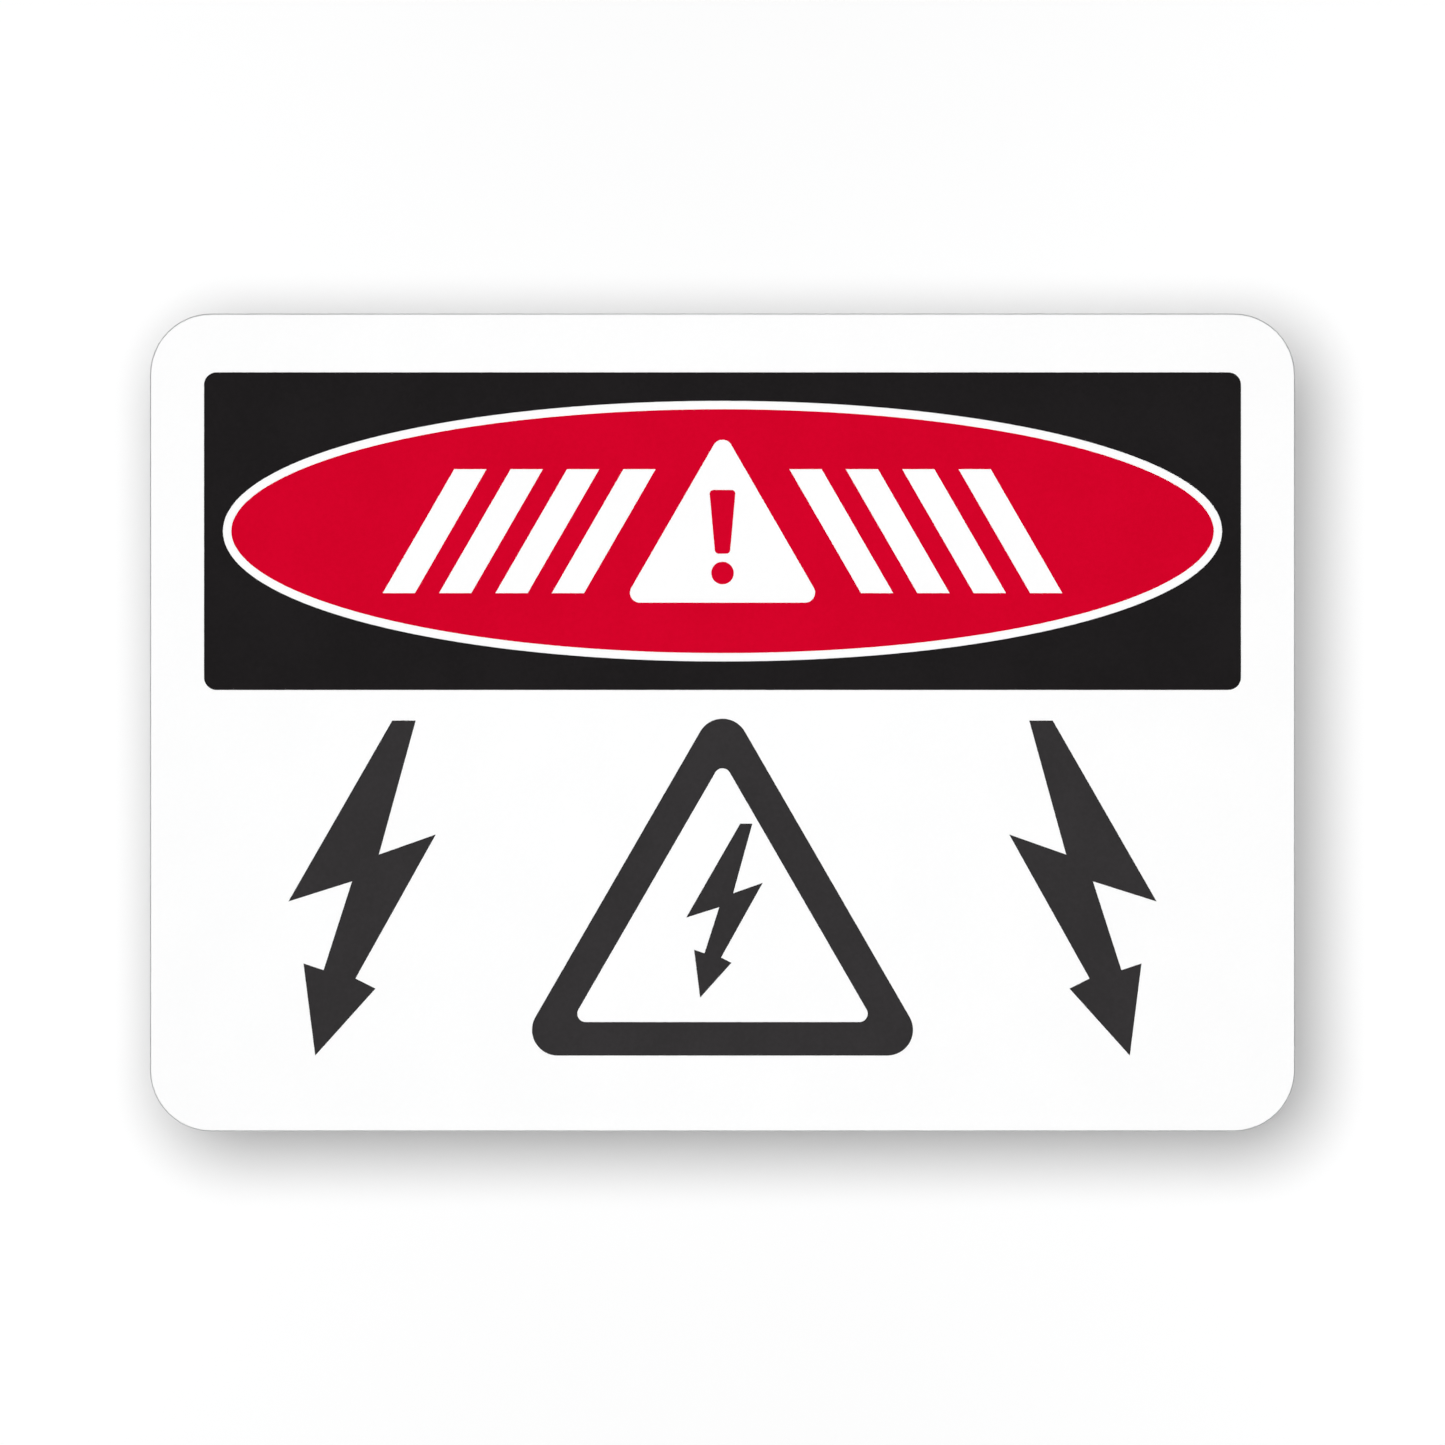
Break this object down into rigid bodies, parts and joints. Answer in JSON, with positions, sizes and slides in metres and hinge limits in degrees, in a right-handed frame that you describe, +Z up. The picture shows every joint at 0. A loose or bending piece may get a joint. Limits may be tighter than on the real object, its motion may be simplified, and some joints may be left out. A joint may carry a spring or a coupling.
{
  "type": "high voltage warning sign",
  "caption": "Flat wall sign: white-faced aluminium plate with round corners, black header around a red oval, and a charcoal high voltage triangle between two arrow-headed flashes.",
  "frame": {"origin": "middle of the sign's flat back face", "axes": "+X across the sign to the reader's right, +Y out of the back towards the wall, +Z up the sign; the face looks along -Y"},
  "size_m": [0.3556, 0.0018, 0.254],
  "materials": {
    "sheet_aluminium": "satin",
    "white_film": "satin",
    "black_film": "satin",
    "red_film": "satin",
    "charcoal_film": "satin"
  },
  "bodies": {
    "root": {"sign_plate": "sheet_aluminium", "face_film": "white_film", "header_film": "black_film", "oval_film": "red_film", "mark_stem_film": "red_film", "mark_dot_film": "red_film", "triangle_film": "charcoal_film", "triangle_flash_film": "charcoal_film", "left_flash_film": "charcoal_film", "right_flash_film": "charcoal_film"}
  },
  "joints": []
}
